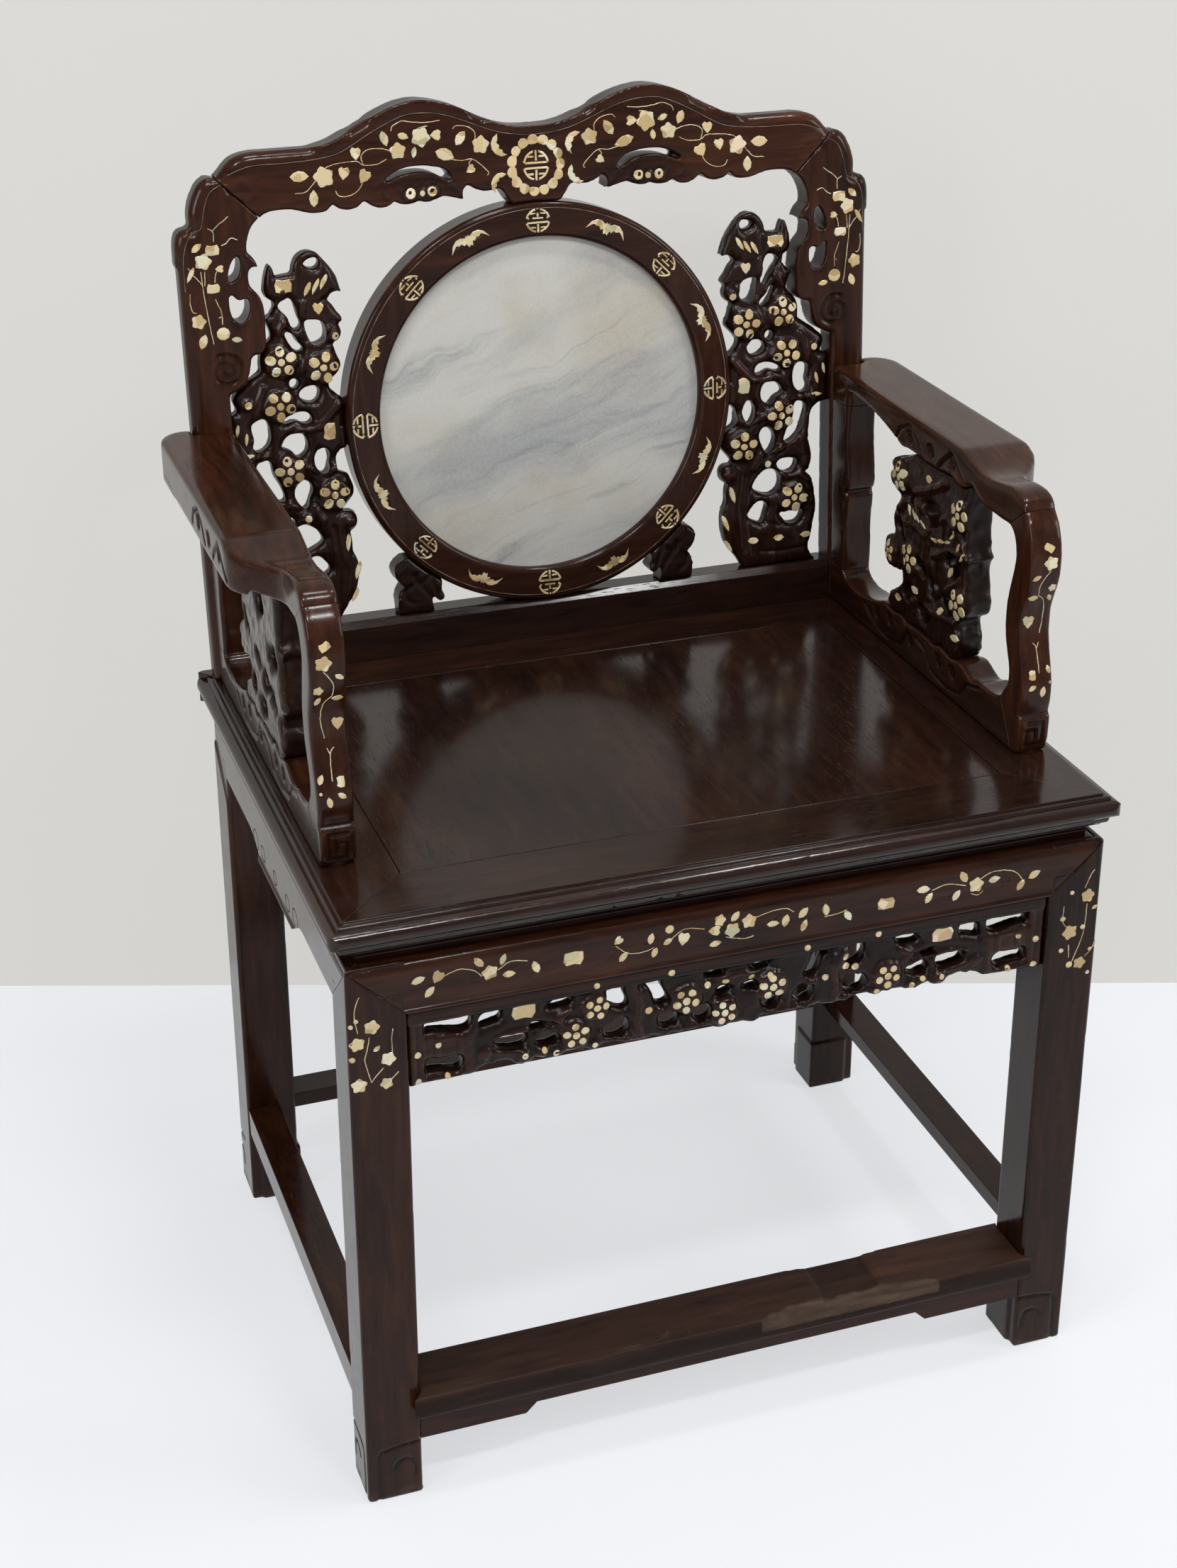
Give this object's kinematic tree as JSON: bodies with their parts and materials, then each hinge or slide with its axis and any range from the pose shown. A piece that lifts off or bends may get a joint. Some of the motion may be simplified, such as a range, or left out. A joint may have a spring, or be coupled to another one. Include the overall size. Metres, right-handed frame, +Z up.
{
  "type": "armchair",
  "caption": "Square-framed wooden armchair with a serpentine crest, a round marble panel in a ring, pierced carved side panels, pearl inlay, a waisted seat and a footrest.",
  "frame": {"origin": "on the floor at the middle of the chair's bounding box", "axes": "+X to the sitter's left, -Y out of the chair's front, +Z up"},
  "size_m": [0.644, 0.503, 0.9652],
  "materials": {
    "rosewood": "dark red-brown rosewood, polished",
    "plain_wood": "plain dark wood, hidden or at the rear",
    "marble": null,
    "pearl": null
  },
  "bodies": {
    "root": {"apron_front": "rosewood", "apron_inlay": "pearl", "apron_left": "rosewood", "apron_rear": "rosewood", "apron_right": "rosewood", "arm_base_left": "rosewood", "arm_base_right": "rosewood", "arm_post_front_left": "rosewood", "arm_post_front_right": "rosewood", "arm_post_rear_left": "rosewood", "arm_post_rear_right": "rosewood", "arm_rail_left": "rosewood", "arm_rail_right": "rosewood", "arm_splat_left": "rosewood", "arm_splat_right": "rosewood", "carved_inlay": "pearl", "carved_panel_left": "rosewood", "carved_panel_right": "rosewood", "crest_inlay": "pearl", "crest_rail": "rosewood", "disc_backboard": "plain_wood", "footrest": "rosewood", "footrest_apron": "rosewood", "frieze_inlay": "pearl", "front_frieze": "rosewood", "joint_pegs": "plain_wood", "leg_front_left": "rosewood", "leg_front_right": "rosewood", "leg_inlay": "pearl", "leg_rear_left": "rosewood", "leg_rear_right": "rosewood", "lower_rail": "rosewood", "marble_disc": "marble", "post_inlay": "pearl", "ring_bottom": "rosewood", "ring_foot_left": "rosewood", "ring_foot_right": "rosewood", "ring_inlay": "pearl", "ring_left": "rosewood", "ring_right": "rosewood", "ring_top": "rosewood", "seat_battens": "plain_wood", "seat_panel": "rosewood", "seat_rail_front": "rosewood", "seat_rail_left": "rosewood", "seat_rail_rear": "rosewood", "seat_rail_right": "rosewood", "splat_inlay": "pearl", "stile_inlay": "pearl", "stile_left": "rosewood", "stile_right": "rosewood", "stretcher_left": "rosewood", "stretcher_rear": "rosewood", "stretcher_right": "rosewood", "waist_front": "rosewood", "waist_left": "rosewood", "waist_rear": "rosewood", "waist_right": "rosewood"}
  },
  "joints": []
}
